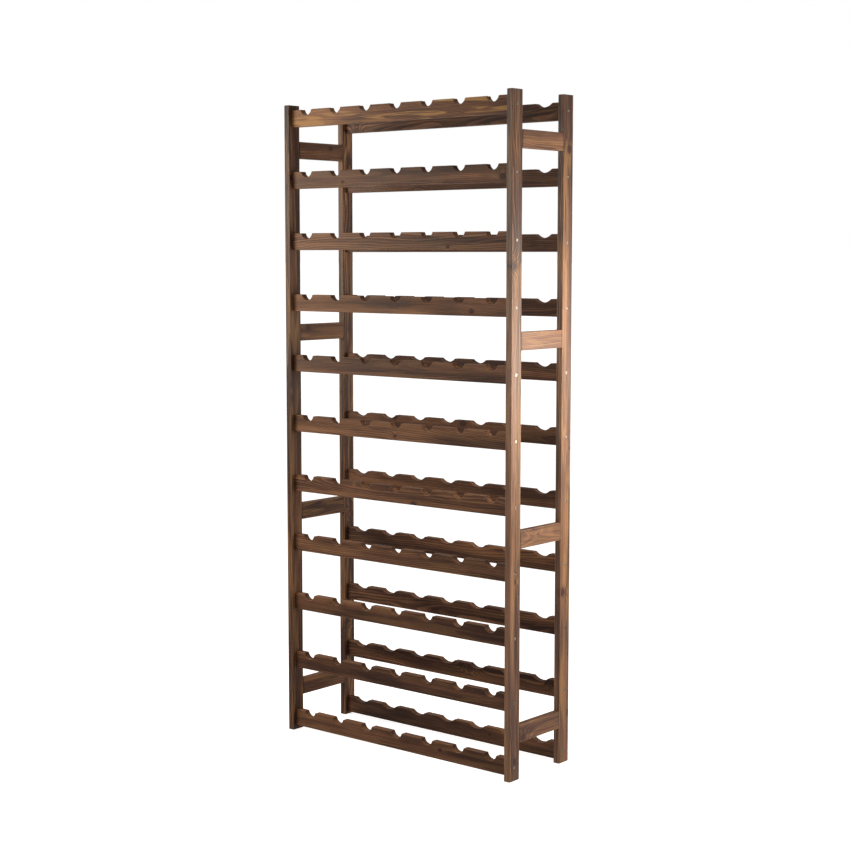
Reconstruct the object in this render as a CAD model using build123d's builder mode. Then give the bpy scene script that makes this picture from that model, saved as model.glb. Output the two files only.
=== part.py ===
from build123d import *
import os

# Free-standing wooden wine rack: 11 rows of 7 bottles.
# Four posts, a front and a back rail in each row, four rungs in each side frame.
# +X is the rack's right, the front faces -Y, +Z is up, and the origin is on the
# floor in the middle of the footprint. All sizes are in millimetres.

os.makedirs("parts", exist_ok=True)

# ---------------------------------------------------------------- driving sizes
rack_width = 765
rack_depth = 250
rack_height = 1700

row_count = 11
slots_per_row = 7
row_pitch = 163

post_thickness = 18      # along X
post_depth = 40          # along Y
rail_thickness = 18      # along Y
rail_height = 45
rung_thickness = 18      # along X
rung_height = 45

front_rail_bottom = 12   # underside of the lowest front rail above the floor
back_rail_drop = 5       # the back rails sit this much lower than the front ones

front_notch_radius = 19  # cradles for the necks of 75 cl bottles
front_notch_depth = 15
back_notch_radius = 38   # cradles for their bodies, 75 mm across
back_notch_depth = 10
notch_lip_radius = 2.5   # rounds the lip where a cradle meets the rail's top
edge_radius = 1.5        # eased edges of every strip of wood

# Rungs stand midway above these rows, counted from the floor.
rungs_above_row = (1, 4, 7, 10)

screw_length = 50
screw_head_diameter = 8
screw_shank_diameter = 4
screw_tip_length = 5
screw_head_sink = 0.3    # the head stands this far below the post's face
recess_width = 1.1       # cross recess in the screw's head
recess_length = 4.6
recess_depth = 1.2

dowel_diameter = 8
dowel_length = 30
dowel_spacing = 22       # between the two dowels at one rung end
dowel_chamfer = 1
joint_clearance = 0.05   # around screws and dowels
dowel_end_clearance = 1  # between a dowel's end and the bottom of its hole

# --------------------------------------------------------------- derived places
post_x = rack_width / 2 - post_thickness / 2
post_y = rack_depth / 2 - post_depth / 2
rail_length = rack_width - 2 * post_thickness
rung_length = rack_depth - 2 * post_depth
slot_pitch = rail_length / slots_per_row
dowel_hole_depth = dowel_length / 2 + dowel_end_clearance

front_bottoms = [front_rail_bottom + row * row_pitch for row in range(row_count)]
back_bottoms = [bottom - back_rail_drop for bottom in front_bottoms]
slot_places = [(slot - (slots_per_row - 1) / 2) * slot_pitch for slot in range(slots_per_row)]

# A rung's middle is halfway across the gap between two front rails.
rung_heights = [
    front_bottoms[row - 1] + (rail_height + row_pitch) / 2 for row in rungs_above_row
]
dowel_heights = [
    height + end * dowel_spacing / 2 for height in rung_heights for end in (-1, 1)
]

sides = {"left": -1, "right": 1}
faces = {"front": -1, "back": 1}
rail_bottoms = {"front": front_bottoms, "back": back_bottoms}
notch_radii = {"front": front_notch_radius, "back": back_notch_radius}
notch_depths = {"front": front_notch_depth, "back": back_notch_depth}


def screw_height(bottom):
    """Rail screws run along the middle of the rail."""
    return bottom + rail_height / 2


def screw_outline(side, height, grow=0):
    """Upper half of a countersunk screw along its axis, or of its hole if grow is given."""
    head = screw_head_diameter / 2 + grow
    shank = screw_shank_diameter / 2 + grow
    face = side * rack_width / 2
    rim = side * (rack_width / 2 - screw_head_sink)
    neck = rim - side * (head - shank)
    tip = rim - side * (screw_length + grow)
    shoulder = tip + side * screw_tip_length
    mouth = [(face, height), (face, height + head)] if grow else [(rim, height)]
    Polyline(
        *mouth,
        (rim, height + head),
        (neck, height + shank),
        (shoulder, height + shank),
        (tip, height),
        close=True,
    )


def dowel_plane(face, side, height, inset=0):
    """Plane on the joint between a rung's end and its post, facing into the post."""
    origin = (side * post_x, face * (rung_length / 2 + inset), height)
    return Plane(origin, x_dir=(1, 0, 0), z_dir=(0, face, 0))


# ------------------------------------------------------------------------ posts
for face_name, face in faces.items():
    for side_name, side in sides.items():
        with BuildPart() as post:
            with BuildSketch():
                with Locations((side * post_x, face * post_y)):
                    Rectangle(post_thickness, post_depth)
            extrude(amount=rack_height)
            fillet(post.edges(), edge_radius)

            # countersunk holes for the rail screws
            for bottom in rail_bottoms[face_name]:
                height = screw_height(bottom)
                with BuildSketch(Plane.XZ.offset(-face * post_y)):
                    with BuildLine():
                        screw_outline(side, height, joint_clearance)
                    make_face()
                revolve(
                    axis=Axis((0, face * post_y, height), (1, 0, 0)), mode=Mode.SUBTRACT
                )

            # blind holes for the rung dowels, in the face that meets the rungs
            for height in dowel_heights:
                with BuildSketch(dowel_plane(face, side, height)):
                    Circle(dowel_diameter / 2 + joint_clearance)
                extrude(amount=dowel_hole_depth, mode=Mode.SUBTRACT)

        post.part.label = f"{face_name}_{side_name}_post"
        export_step(post.part, f"parts/{post.part.label}.step")


# ------------------------------------------------------------------------ rails
# Rows are numbered from the floor, so row_01 is the lowest.
for face_name, face in faces.items():
    notch_radius = notch_radii[face_name]
    centre_rise = rail_height - notch_depths[face_name] + notch_radius
    for row, bottom in enumerate(rail_bottoms[face_name], start=1):
        with BuildPart() as rail:
            with BuildSketch(Plane.XZ.offset(-face * post_y)) as rail_outline:
                with Locations((0, bottom + rail_height / 2)):
                    Rectangle(rail_length, rail_height)
                cradle_centres = [(place, bottom + centre_rise) for place in slot_places]
                with Locations(*cradle_centres):
                    Circle(notch_radius, mode=Mode.SUBTRACT)
                lips = rail_outline.vertices().group_by(Axis.Y)[-1].sort_by(Axis.X)[1:-1]
                fillet(lips, notch_lip_radius)
            extrude(amount=rail_thickness / 2, both=True)
            long_edges = rail.faces().filter_by(Axis.Y).edges()
            butt_edges = rail.faces().filter_by(Axis.X).edges()
            fillet(long_edges - butt_edges, edge_radius)

            # pilot holes for the screws through the posts
            for side in sides.values():
                height = screw_height(bottom)
                with BuildSketch(Plane.XZ.offset(-face * post_y)):
                    with BuildLine():
                        screw_outline(side, height, joint_clearance)
                    make_face()
                revolve(
                    axis=Axis((0, face * post_y, height), (1, 0, 0)), mode=Mode.SUBTRACT
                )

        rail.part.label = f"{face_name}_rail_row_{row:02d}"
        export_step(rail.part, f"parts/{rail.part.label}.step")


# ------------------------------------------------------------------------ rungs
for side_name, side in sides.items():
    for level, height in enumerate(rung_heights, start=1):
        with BuildPart() as rung:
            with BuildSketch(Plane.XZ):
                with Locations((side * post_x, height)):
                    RectangleRounded(rung_thickness, rung_height, edge_radius)
            extrude(amount=rung_length / 2, both=True)

            # blind holes for two dowels in each end
            for face in faces.values():
                for end in (-1, 1):
                    dowel_height = height + end * dowel_spacing / 2
                    with BuildSketch(dowel_plane(face, side, dowel_height)):
                        Circle(dowel_diameter / 2 + joint_clearance)
                    extrude(amount=-dowel_hole_depth, mode=Mode.SUBTRACT)

        rung.part.label = f"{side_name}_rung_{level}"
        export_step(rung.part, f"parts/{rung.part.label}.step")


# ----------------------------------------------------------------------- screws
# One group for each post: eleven countersunk wood screws with a cross recess.
for face_name, face in faces.items():
    for side_name, side in sides.items():
        with BuildPart() as screws:
            for bottom in rail_bottoms[face_name]:
                height = screw_height(bottom)
                with BuildSketch(Plane.XZ.offset(-face * post_y)):
                    with BuildLine():
                        screw_outline(side, height)
                    make_face()
                revolve(axis=Axis((0, face * post_y, height), (1, 0, 0)))
            head_x = side * (rack_width / 2 - screw_head_sink)
            head_places = [
                (head_x, face * post_y, screw_height(bottom))
                for bottom in rail_bottoms[face_name]
            ]
            with Locations(*head_places):
                Box(2 * recess_depth, recess_length, recess_width, mode=Mode.SUBTRACT)
                Box(2 * recess_depth, recess_width, recess_length, mode=Mode.SUBTRACT)

        screws.part.label = f"{face_name}_{side_name}_rail_screws"
        export_step(screws.part, f"parts/{screws.part.label}.step")


# ----------------------------------------------------------------------- dowels
# One group for each side frame: two beech dowels at each end of each rung.
for side_name, side in sides.items():
    with BuildPart() as dowels:
        for face in faces.values():
            for height in dowel_heights:
                with BuildSketch(dowel_plane(face, side, height, inset=-dowel_length / 2)):
                    Circle(dowel_diameter / 2)
                extrude(amount=dowel_length)
        chamfer(dowels.edges().filter_by(GeomType.CIRCLE), dowel_chamfer)

    dowels.part.label = f"{side_name}_rung_dowels"
    export_step(dowels.part, f"parts/{dowels.part.label}.step")
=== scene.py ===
import math
import random

import bpy
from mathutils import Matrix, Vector


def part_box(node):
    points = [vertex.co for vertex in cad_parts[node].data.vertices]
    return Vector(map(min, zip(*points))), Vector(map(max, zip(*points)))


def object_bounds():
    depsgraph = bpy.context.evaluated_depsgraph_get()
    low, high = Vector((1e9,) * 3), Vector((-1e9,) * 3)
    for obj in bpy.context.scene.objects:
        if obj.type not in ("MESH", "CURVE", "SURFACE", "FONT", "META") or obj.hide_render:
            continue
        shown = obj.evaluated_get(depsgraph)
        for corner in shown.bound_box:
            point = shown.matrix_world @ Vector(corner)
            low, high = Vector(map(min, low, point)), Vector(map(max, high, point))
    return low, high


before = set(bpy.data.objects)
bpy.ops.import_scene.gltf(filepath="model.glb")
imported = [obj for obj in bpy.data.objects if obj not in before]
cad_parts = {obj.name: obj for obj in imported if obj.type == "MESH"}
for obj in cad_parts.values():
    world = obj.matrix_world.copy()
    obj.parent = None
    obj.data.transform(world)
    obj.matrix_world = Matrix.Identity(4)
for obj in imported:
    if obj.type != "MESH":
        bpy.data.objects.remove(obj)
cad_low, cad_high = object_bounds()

# The looks of the wine rack. Its CAD pieces keep their shapes, and each gets a material of
# its own: stained pine that is solid all through, so growth rings, knots and end grain agree
# from face to face, steel screws and plain beech dowels. Lengths are in metres.

# Colours are linear. The stain's first three go from where the most of it went in to where
# the most was wiped off.
STAIN_DARK = (0.034, 0.0125, 0.0062, 1)
STAIN_MID = (0.105, 0.042, 0.021, 1)
STAIN_LIGHT = (0.26, 0.118, 0.056, 1)
STAIN_GOLD = (0.52, 0.27, 0.088, 1)
# the knots' dark is also the dark of the painted shade at strip ends and around screws
KNOT_AND_SHADE_DARK = (0.018, 0.007, 0.004, 1)
KNOT_RED = (0.075, 0.024, 0.011, 1)
RAW_EDGE = (0.33, 0.165, 0.085, 1)
ZINC_BRIGHT = (0.54, 0.48, 0.41, 1)
ZINC_DULL = (0.28, 0.23, 0.18, 1)
ZINC_STAINED = (0.09, 0.05, 0.03, 1)
BEECH_DARK = (0.50, 0.31, 0.17, 1)
BEECH_LIGHT = (0.66, 0.46, 0.28, 1)
BEECH_FLECK = (0.26, 0.13, 0.06, 1)


# ---------------------------------------------------------------- building materials
class Graph:
    """One material's nodes, with a short call for each kind."""

    def __init__(self, name):
        self.material = bpy.data.materials.new(name)
        self.material.use_nodes = True
        self.tree = self.material.node_tree
        self.tree.nodes.clear()

    def connect(self, node, name, value):
        """Links a socket to an input, or sets the input to a plain number or colour."""
        if isinstance(value, bpy.types.NodeSocket):
            self.tree.links.new(value, node.inputs[name])
        else:
            node.inputs[name].default_value = value

    def add(self, kind, inputs, **settings):
        node = self.tree.nodes.new(kind)
        for name, value in settings.items():
            setattr(node, name, value)
        for name, value in inputs.items():
            self.connect(node, name, value)
        return node

    def texture_place(self, output):
        return self.add("ShaderNodeTexCoord", {}).outputs[output]

    def split(self, vector):
        return self.add("ShaderNodeSeparateXYZ", {0: vector}).outputs

    def maths(self, operation, a, b=0.0, c=0.0):
        inputs = {0: a, 1: b, 2: c}
        return self.add("ShaderNodeMath", inputs, operation=operation).outputs[0]

    def total(self, *terms):
        result = terms[0]
        for term in terms[1:]:
            result = self.maths("ADD", result, term)
        return result

    def times(self, a, b):
        return self.maths("MULTIPLY", a, b)

    def swing(self, value, amount):
        """A noise from 0 to 1 as a swing to either side of nothing, amount from end to end."""
        return self.times(self.maths("SUBTRACT", value, 0.5), amount)

    def ramp(self, value, low, high, to_low=0.0, to_high=1.0):
        """value from low to high, eased in and out, as to_low to to_high."""
        inputs = {
            "Value": value, "From Min": low, "From Max": high, "To Min": to_low, "To Max": to_high,
        }
        return self.add("ShaderNodeMapRange", inputs, interpolation_type="SMOOTHSTEP").outputs[0]

    def vector(self, x, y, z):
        return self.add("ShaderNodeCombineXYZ", {0: x, 1: y, 2: z}).outputs[0]

    def length(self, a, b):
        inputs = {0: self.vector(a, b, 0.0)}
        return self.add("ShaderNodeVectorMath", inputs, operation="LENGTH").outputs["Value"]

    def noise(self, vector, detail=2.0, roughness=0.5, distortion=0.0):
        inputs = {
            "Vector": vector, "Scale": 1.0, "Detail": detail, "Roughness": roughness,
            "Distortion": distortion,
        }
        return self.add("ShaderNodeTexNoise", inputs).outputs["Fac"]

    def chance(self, value):
        """Three steady random numbers for each whole value."""
        node = self.add("ShaderNodeTexWhiteNoise", {"W": value}, noise_dimensions="1D")
        return self.add("ShaderNodeSeparateColor", {0: node.outputs["Color"]}).outputs

    def mix(self, factor, a, b):
        """Colour a turning into colour b as factor goes from 0 to 1."""
        node = self.add("ShaderNodeMix", {}, data_type="RGBA")
        # A mix node has sockets of the same name for each kind of value: these are the colours'.
        for index, value in ((0, factor), (6, a), (7, b)):
            self.connect(node, index, value)
        return node.outputs[2]

    def finish(self, color, roughness, height, bump_distance, **constants):
        """The shader, with plain numbers set on its own sockets."""
        bump = self.add("ShaderNodeBump", {"Height": height, "Distance": bump_distance})
        inputs = {"Base Color": color, "Roughness": roughness, "Normal": bump.outputs[0]}
        shader = self.add("ShaderNodeBsdfPrincipled", inputs)
        for name, value in constants.items():
            shader.inputs[name].default_value = value
        self.add("ShaderNodeOutputMaterial", {"Surface": shader.outputs[0]})
        return self.material


def centre_and_half(node):
    low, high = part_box(node)
    return (low + high) / 2, (high - low) / 2


# ------------------------------------------------------------------------ stained pine
# Which row axes run along a strip's grain, across its wide face and through its thickness.
GRAIN_AXES = {"post": "ZYX", "rail": "XZY", "rung": "YZX"}

# The cradles that the CAD cuts in the rails: how many in each, and one's radius and depth.
CRADLES = 7
CRADLE_SHAPES = {"front": (0.019, 0.015), "back": (0.038, 0.010)}

KNOT_STRETCH = {"post": 0.36, "rail": 0.30, "rung": 0.30}   # at most one knot in each
KNOT_RADIUS = 0.0085            # the largest knot
KNOT_RING = 0.0013              # between a knot's own rings
HEART_DEPTH = (0.035, 0.085)    # from a strip's middle to the heart of its tree
YEAR_GROWTH = (0.0026, 0.0038)  # from one ring to the next
RUBBED_WIDTH = 0.0021           # bare wood along an edge
DUSTY_AND_SHADED_END = 0.006               # darkened wood where a strip meets its neighbour: dust and painted shade
SCREW_HEAD = 0.0040             # radius
SCREW_MARK_AND_SHADE = 0.0062             # outer radius of the dark ring around a screw's head: grime and painted shade
GRAIN_RELIEF = 0.00022


class Strip:
    """A strip of wood in its material: its size, its grain and its own place in the noise."""

    def __init__(self, g, name, kind, chance):
        middle, half = centre_and_half(name)
        order = ["XYZ".index(axis) for axis in GRAIN_AXES[kind]]
        self.g = g
        self.name = name
        self.kind = kind
        self.grain_axis = order[0]
        self.half = [half[i] for i in order]
        self.parts = g.split(g.texture_place("Object"))
        # where the point lies in the strip: along the grain, across it and through it
        self.along, self.wide, self.thick = [
            g.maths("SUBTRACT", self.parts[i], middle[i]) for i in order
        ]
        self.shift = chance.uniform(-40, 40)

    def stretched(self, along_scale, across_scale, offset=0.0):
        """A noise's vector: its scale along the grain, and its scale across it, in waves a metre."""
        g = self.g
        return g.vector(
            g.maths("MULTIPLY_ADD", self.along, along_scale, self.shift + offset),
            g.maths("MULTIPLY_ADD", self.wide, across_scale, self.shift * 0.37 + offset),
            g.maths("MULTIPLY_ADD", self.thick, across_scale, offset),
        )

    def edge_distance(self):
        """Distance from a surface point to the nearest long edge of the strip."""
        g = self.g
        to_side = g.maths("SUBTRACT", self.half[2], g.maths("ABSOLUTE", self.thick))
        if self.kind != "rail":
            to_top = g.maths("SUBTRACT", self.half[1], g.maths("ABSOLUTE", self.wide))
            return g.maths("MAXIMUM", to_side, to_top)
        # A rail's top runs down into round cradles.
        radius, depth = CRADLE_SHAPES[self.name.split("_")[0]]
        pitch = 2 * self.half[0] / CRADLES
        in_cradle = g.maths("WRAP", self.along, pitch / 2, -pitch / 2)
        above_middle = self.half[1] - depth + radius
        from_centre = g.length(in_cradle, g.maths("SUBTRACT", self.wide, above_middle))
        to_cradle = g.maths("SUBTRACT", from_centre, radius)
        to_top = g.maths("MINIMUM", g.maths("SUBTRACT", self.half[1], self.wide), to_cradle)
        to_bottom = g.maths("ADD", self.half[1], self.wide)
        return g.maths("MAXIMUM", to_side, g.maths("MINIMUM", to_top, to_bottom))

    def knots(self, chance):
        """How far the nearest knot is, its radius, and the one in terms of the other.

        At most one knot lies in each stretch of the strip, with a place and size of its own.
        """
        g = self.g
        stretch = KNOT_STRETCH[self.kind]
        stretches = g.maths("ADD", g.maths("DIVIDE", self.along, stretch), chance.uniform(0, 1))
        count = g.maths("FLOOR", stretches)
        lots = g.chance(g.maths("ADD", count, float(chance.randrange(1000))))
        place = g.maths("MULTIPLY_ADD", lots[0], 0.5, 0.25)
        away = g.times(g.maths("SUBTRACT", g.maths("SUBTRACT", stretches, count), place), stretch)
        aside = g.maths("SUBTRACT", self.wide, g.swing(lots[1], 2.2 * self.half[1]))
        size = g.ramp(lots[2], 0.35, 1.0, 0.0, KNOT_RADIUS)
        wobble = g.swing(g.noise(self.stretched(70, 70)), 0.004)
        distance = g.maths("ADD", g.length(g.times(away, 0.75), aside), wobble)
        reach = g.maths("DIVIDE", distance, g.maths("MAXIMUM", size, 0.0005))
        return distance, size, reach

    def late_wood(self, knot_size, knot_reach, chance):
        """The dark band that ends each year's growth.

        The rings are cones around a heart that lies outside the strip. They are bent by the
        years and swell around the knots.
        """
        g = self.g
        angle = chance.uniform(0.25, 1.3) * chance.choice((-1, 1))
        heart = chance.uniform(*HEART_DEPTH)
        lean = chance.uniform(0.010, 0.028) * chance.choice((-1, 1))
        near_knot = g.maths("POWER", g.times(knot_reach, 0.42), 2.0)
        bulge = g.maths("EXPONENT", g.times(near_knot, -1.0))
        radius = g.total(
            g.length(
                g.maths("ADD", self.wide, heart * math.sin(angle)),
                g.maths("ADD", self.thick, heart * math.cos(angle)),
            ),
            g.times(self.along, lean),
            g.swing(g.noise(self.stretched(2.6, 11), 2.0), 0.030),
            g.swing(g.noise(self.stretched(14, 60, 7.0), 2.0), 0.0026),
            g.times(bulge, g.times(knot_size, 1.7)),
        )
        rings = g.maths("DIVIDE", radius, chance.uniform(*YEAR_GROWTH))
        year = g.chance(g.maths("FLOOR", rings))
        ring = g.maths("FRACT", rings)
        late = g.times(g.ramp(ring, 0.25, 0.86), g.ramp(ring, 0.93, 1.0, 1.0, 0.0))
        return g.times(late, g.maths("MULTIPLY_ADD", year[0], 0.7, 0.45))

    def end_dust_and_shade(self):
        """Stain and dust gathered where the strip meets its neighbour, with painted shade."""
        g = self.g
        to_end = g.maths("SUBTRACT", self.half[0], g.maths("ABSOLUTE", self.along))
        return g.ramp(to_end, 0.0, DUSTY_AND_SHADED_END, 0.55, 0.0)

    def screw_grime_and_shade(self):
        """A faint dark ring on a post around each screw head: grime and painted shade."""
        g = self.g
        face = self.name.split("_")[0]
        lowest, _ = centre_and_half(f"{face}_rail_row_01")
        second, _ = centre_and_half(f"{face}_rail_row_02")
        pitch = second.z - lowest.z
        above_lowest = g.maths("SUBTRACT", self.parts[2], lowest.z)
        height = g.maths("WRAP", above_lowest, pitch / 2, -pitch / 2)
        distance = g.length(g.maths("SUBTRACT", self.parts[1], lowest.y), height)
        return g.ramp(distance, SCREW_HEAD, SCREW_MARK_AND_SHADE, 0.6, 0.0)


def knotted(g, color, knot_distance, knot_size, knot_reach):
    """The colour with the knots in it, each with close rings and a rim, and the knots' mask."""
    rings = g.maths("FRACT", g.maths("DIVIDE", knot_distance, KNOT_RING))
    knot_color = g.mix(g.ramp(rings, 0.2, 0.9), KNOT_RED, KNOT_AND_SHADE_DARK)
    has_knot = g.ramp(knot_size, 0.001, 0.0025)
    inside = g.times(g.ramp(knot_reach, 0.82, 1.08, 1.0, 0.0), has_knot)
    rim = g.times(g.ramp(knot_reach, 0.9, 1.9, 1.0, 0.0), has_knot)
    color = g.mix(g.times(rim, 0.5), color, KNOT_RED)
    return g.mix(inside, color, knot_color), inside


def stained_pine(name, kind, light, gold, painted_light_drift=0.0, painted_highlight_belly=0.0, stripes=1.15, shine=0.18):
    """Walnut-stained pine for one strip, cut from its own place in a tree.

    light is how much stain was wiped off, less any painted shade, gold how strong the yellow veins
    are and stripes how strong the grain's own stripes. The drift is painted light and shade that
    makes the strip lighter or darker towards its far end, and the belly a painted highlight that
    makes it lighter in the middle. shine is the lacquer's strength.
    """
    chance = random.Random(name)
    g = Graph(name)
    strip = Strip(g, name, kind, chance)
    knot_distance, knot_size, knot_reach = strip.knots(chance)
    late = strip.late_wood(knot_size, knot_reach, chance)

    # how little stain went in (long streaks, blotches, fine fibres and the strip's own tone), and
    # the painted light and shade along the strip
    streak = g.noise(strip.stretched(1.7, 34, 3.0), 3.0, 0.55, 0.4)
    blotch = g.noise(strip.stretched(7, 24, 11.0), 3.0, 0.6)
    fibre = g.noise(strip.stretched(30, 950, 5.0), 2.0, 0.6)
    to_far_end = g.maths("DIVIDE", strip.along, strip.half[0])
    wiped_and_painted_light = g.total(
        g.swing(streak, 1.7 * stripes),
        g.swing(blotch, 0.8),
        g.swing(fibre, 0.35),
        g.times(late, 0.42 * stripes),
        # painted light and shade along the strip: lighter or darker towards its far end, and a
        # painted highlight in the middle
        g.times(to_far_end, painted_light_drift),
        g.times(g.times(to_far_end, to_far_end), -painted_highlight_belly),
        light - 0.16,
    )
    facing = g.split(g.texture_place("Normal"))
    if kind == "rail":
        # a rail's top and its cradles are made lighter where they face up
        wiped_and_painted_light = g.total(wiped_and_painted_light, g.ramp(facing[2], 0.3, 0.9, 0.0, 0.30))
    color = g.mix(g.ramp(wiped_and_painted_light, 0.0, 0.62), STAIN_DARK, STAIN_MID)
    color = g.mix(g.ramp(wiped_and_painted_light, 0.42, 1.15), color, STAIN_LIGHT)

    # yellow veins in the late wood, and short dark dashes of resin
    vein = g.noise(strip.stretched(3.4, 46, 21.0), 2.0, 0.5, 1.3)
    vein = g.times(g.ramp(vein, 0.49, 0.58), g.maths("MULTIPLY_ADD", late, 0.45, 0.55))
    color = g.mix(g.times(vein, gold), color, STAIN_GOLD)
    dash = g.noise(strip.stretched(95, 1500, 9.0), 1.0)
    color = g.mix(g.times(g.ramp(dash, 0.68, 0.76), 0.55), color, STAIN_DARK)

    color, in_knot = knotted(g, color, knot_distance, knot_size, knot_reach)

    # end grain drinks the stain
    end_grain = g.ramp(g.maths("ABSOLUTE", facing[strip.grain_axis]), 0.6, 0.95)
    color = g.mix(g.times(end_grain, 0.62), color, STAIN_DARK)

    # rubbed edges, patchy along the strip
    rub = g.ramp(strip.edge_distance(), 0.0003, RUBBED_WIDTH, 1.0, 0.0)
    patch = g.ramp(g.noise(strip.stretched(9, 40, 31.0), 3.0, 0.65), 0.36, 0.66)
    color = g.mix(g.times(rub, g.maths("MULTIPLY_ADD", patch, 0.55, 0.12)), color, RAW_EDGE)

    # grime and painted shade around a post's screws, and dust and painted shade at other strips'
    # ends
    marks_and_shade = strip.screw_grime_and_shade() if kind == "post" else strip.end_dust_and_shade()
    color = g.mix(marks_and_shade, color, KNOT_AND_SHADE_DARK)

    gloss = g.total(
        0.47,
        g.swing(blotch, 0.22),
        g.times(fibre, 0.10),
        g.times(late, -0.10),
        g.times(end_grain, 0.18),
    )
    height = g.total(
        g.times(late, 0.55), g.times(fibre, 0.40), g.times(dash, 0.25), g.times(in_knot, 0.8)
    )
    return g.finish(color, gloss, height, GRAIN_RELIEF, **{"Specular IOR Level": shine})


# ------------------------------------------------------------------- screws and dowels
def zinc_steel(name):
    """Zinc-plated steel, dulled in patches and stained dark where the walnut stain pooled."""
    g = Graph(name)
    position = g.texture_place("Object")

    def at(scale):
        inputs = {0: position, "Scale": scale}
        return g.add("ShaderNodeVectorMath", inputs, operation="SCALE").outputs[0]

    cloud = g.noise(at(420), 3.0, 0.6)
    scratch = g.noise(at(2600), 2.0, 0.7)
    pool = g.noise(at(160), 3.0, 0.6)
    color = g.mix(g.ramp(cloud, 0.35, 0.7), ZINC_BRIGHT, ZINC_DULL)
    color = g.mix(g.ramp(pool, 0.48, 0.66), color, ZINC_STAINED)
    gloss = g.total(0.34, g.times(cloud, 0.22), g.times(scratch, 0.10))
    height = g.total(g.times(scratch, 0.6), g.times(cloud, 0.4))
    return g.finish(color, gloss, height, 0.00004, Metallic=1.0)


def beech(name):
    """Plain beech for the hidden dowels, with its short dark flecks."""
    g = Graph(name)
    parts = g.split(g.texture_place("Object"))

    def stretched(along_scale, across_scale):
        """A noise's vector: a dowel lies front to back, and so does its grain."""
        return g.vector(
            g.times(parts[0], across_scale),
            g.times(parts[1], along_scale),
            g.times(parts[2], across_scale),
        )

    fleck = g.ramp(g.noise(stretched(260, 1900), 1.0), 0.60, 0.70)
    band = g.noise(stretched(30, 420), 3.0, 0.6)
    color = g.mix(band, BEECH_DARK, BEECH_LIGHT)
    color = g.mix(g.times(fleck, 0.6), color, BEECH_FLECK)
    gloss = g.maths("MULTIPLY_ADD", band, 0.15, 0.55)
    return g.finish(color, gloss, g.total(band, fleck), 0.00008)


# ------------------------------------------------------------- which piece wears what
# How much stain was wiped off each rung and each front rail but the top one, lowest first.
RUNG_LIGHT = (0.80, 0.64, 0.78, 0.70)
FRONT_RAIL_LIGHT = (0.48, 0.32, 0.42, 0.46, 0.50, 0.58, 0.34, 0.64, 0.72, 0.42)
# how much darker the left posts and left rungs are made: painted shade
LEFT_SIDE_PAINTED_SHADE = 0.24


def tone_of(node, kind):
    """How one strip took the stain: the timber of a rack is never all one colour. Some strips also
    carry painted light and shade.
    """
    chance = random.Random("tone " + node)
    # the left side's strips are darkened as painted shade
    painted_shade, shine = (LEFT_SIDE_PAINTED_SHADE, 0.25) if "left" in node else (0.0, 0.5)
    if kind == "rung":
        light = RUNG_LIGHT[int(node[-1]) - 1] - painted_shade
        return {"light": light, "gold": 0.22, "stripes": 0.95, "shine": shine}
    if kind == "post":
        return {
            "light": 0.54 - painted_shade + chance.uniform(-0.04, 0.04),
            "gold": 0.44 if node == "back_right_post" else 0.30,
            # along a post: darker towards the top as painted shade, with a painted highlight at mid
            # height
            "painted_light_drift": -0.14,
            "painted_highlight_belly": 0.12,
            "stripes": 1.45,
            "shine": shine,
        }
    # along a front rail: lighter at its left end as painted light, darker at its right end
    if node == "front_rail_row_11":
        return {"light": 0.76, "gold": 0.9, "painted_light_drift": -0.46, "stripes": 1.35}
    if node.startswith("front"):
        return {"light": FRONT_RAIL_LIGHT[int(node[-2:]) - 1], "gold": 0.12, "painted_light_drift": -0.10}
    # the back rails are made darker than the front ones: painted shade
    return {"light": 0.34 + chance.uniform(-0.07, 0.07), "gold": 0.1}


def material_for(node):
    if node.endswith("screws"):
        return zinc_steel(node)
    if node.endswith("dowels"):
        return beech(node)
    kind = next(kind for kind in GRAIN_AXES if kind in node)
    return stained_pine(node, kind, **tone_of(node, kind))


# A CAD piece gets its material and keeps its shape.
for node in sorted(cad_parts):
    material = material_for(node)
    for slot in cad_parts[node].material_slots:
        slot.link = "OBJECT"
        slot.material = material


# ------------------------------------------------------------------------------ studio
FLOOR_REACH = 200.0
FLOOR_GLOW = 0.80        # the sweep is lit from within, so it stays white to the horizon
SURROUND_SEEN = 1.0      # how bright the surround is to the camera
LIGHT_ABOVE = 0.38       # what it adds to the rack's light from above
LIGHT_BELOW = 0.52       # and from below, in place of the sweep's own bounce
WARM = (1.0, 0.92, 0.80)

# The camera stands to the rack's front right, about three quarters of the way up it.
CAMERA_PLACE = (2.9115, -3.458, 1.305)
CAMERA_DOWN = 5.64       # degrees below level
CAMERA_TURN = 40.06      # degrees to the left, from looking straight at the front
LENS = 73.2              # millimetres
SENSOR_WIDTH = 36.0      # millimetres


def studio_floor():
    """A plain white sweep that reaches well past the view, and that only the camera sees."""
    mesh = bpy.data.meshes.new("floor")
    around = ((-1, -1), (1, -1), (1, 1), (-1, 1))
    corners = [(x * FLOOR_REACH, y * FLOOR_REACH, 0.0) for x, y in around]
    mesh.from_pydata(corners, [], [(0, 1, 2, 3)])
    floor = bpy.data.objects.new("floor", mesh)
    bpy.context.scene.collection.objects.link(floor)
    g = Graph("floor")
    cloud = g.noise(g.texture_place("Object"), 3.0)
    tint = g.mix(cloud, (0.88, 0.88, 0.88, 1), (0.92, 0.92, 0.92, 1))
    glow = {"Emission Color": (1, 1, 1, 1), "Emission Strength": FLOOR_GLOW}
    mesh.materials.append(g.finish(tint, 1.0, 0.0, 0.0001, **glow))
    floor.visible_diffuse = False
    floor.visible_glossy = False


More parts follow.
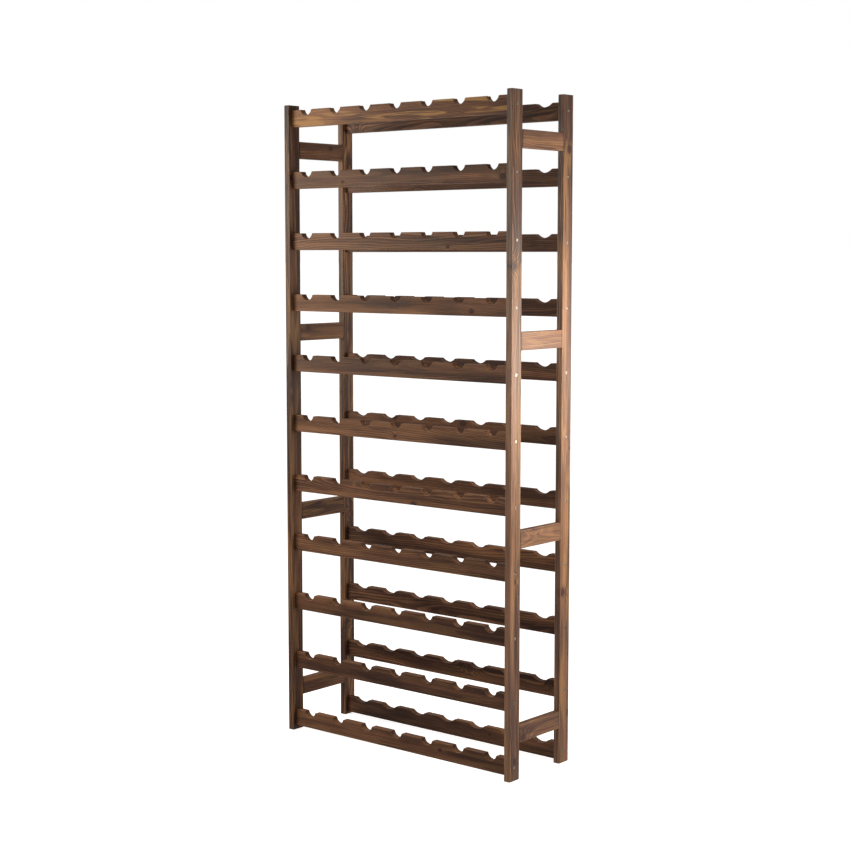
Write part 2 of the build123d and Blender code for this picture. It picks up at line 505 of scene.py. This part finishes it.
def softbox(name, aim, away, width, height, power):
    """A warm soft light that stands away from its aim and faces it, unseen by the camera."""
    light = bpy.data.lights.new(name, "AREA")
    light.shape = "RECTANGLE"
    light.size = width
    light.size_y = height
    light.energy = power
    light.color = WARM
    lamp = bpy.data.objects.new(name, light)
    lamp.location = aim + Vector(away)
    lamp.rotation_euler = (-Vector(away)).to_track_quat("-Z", "Y").to_euler()
    lamp.visible_camera = False
    bpy.context.scene.collection.objects.link(lamp)


def white_surround():
    """A white background for the camera that lights the rack more gently than it shows."""
    world = bpy.data.worlds.new("surround")
    bpy.context.scene.world = world
    world.use_nodes = True
    nodes, links = world.node_tree.nodes, world.node_tree.links
    background = nodes["Background"]
    direction = nodes.new("ShaderNodeTexCoord")
    parts = nodes.new("ShaderNodeSeparateXYZ")
    links.new(direction.outputs["Generated"], parts.inputs[0])
    lighting = nodes.new("ShaderNodeMapRange")
    lighting.inputs["From Min"].default_value = -0.25
    lighting.inputs["From Max"].default_value = 0.25
    lighting.inputs["To Min"].default_value = LIGHT_BELOW
    lighting.inputs["To Max"].default_value = LIGHT_ABOVE
    links.new(parts.outputs["Z"], lighting.inputs["Value"])
    path = nodes.new("ShaderNodeLightPath")
    strength = nodes.new("ShaderNodeMapRange")
    strength.inputs["To Max"].default_value = SURROUND_SEEN
    links.new(lighting.outputs["Result"], strength.inputs["To Min"])
    links.new(path.outputs["Is Camera Ray"], strength.inputs["Value"])
    background.inputs["Color"].default_value = (1, 1, 1, 1)
    links.new(strength.outputs["Result"], background.inputs["Strength"])


def add_camera():
    data = bpy.data.cameras.new("camera")
    data.sensor_width = SENSOR_WIDTH
    data.lens = LENS
    camera = bpy.data.objects.new("camera", data)
    camera.location = CAMERA_PLACE
    camera.rotation_euler = (math.radians(90 - CAMERA_DOWN), 0.0, math.radians(CAMERA_TURN))
    bpy.context.scene.collection.objects.link(camera)
    bpy.context.scene.camera = camera


studio_floor()

# The key lights the middle of the right-hand posts, low_right their feet, and sheen_right
# lies where they mirror it to the camera. The fill is for the front of the left side.
right_side = Vector((cad_high.x, (cad_low.y + cad_high.y) / 2, 1.08))
low_on_right = right_side - Vector((0, 0, 0.75))
front_left = Vector((cad_low.x, cad_low.y, 1.25))
softbox("key_right", right_side, (0.52, 0.17, -0.04), 0.35, 0.56, 6.8)
softbox("low_right", low_on_right, (0.90, 0.10, -0.05), 0.5, 0.5, 3.2)
softbox("sheen_right", right_side, (1.02, 1.23, -0.12), 0.5, 0.5, 8)
softbox("fill_left", front_left, (-1.25, -1.15, 0.2), 0.9, 0.9, 27)
white_surround()
add_camera()
bpy.context.scene.view_settings.view_transform = "Standard"
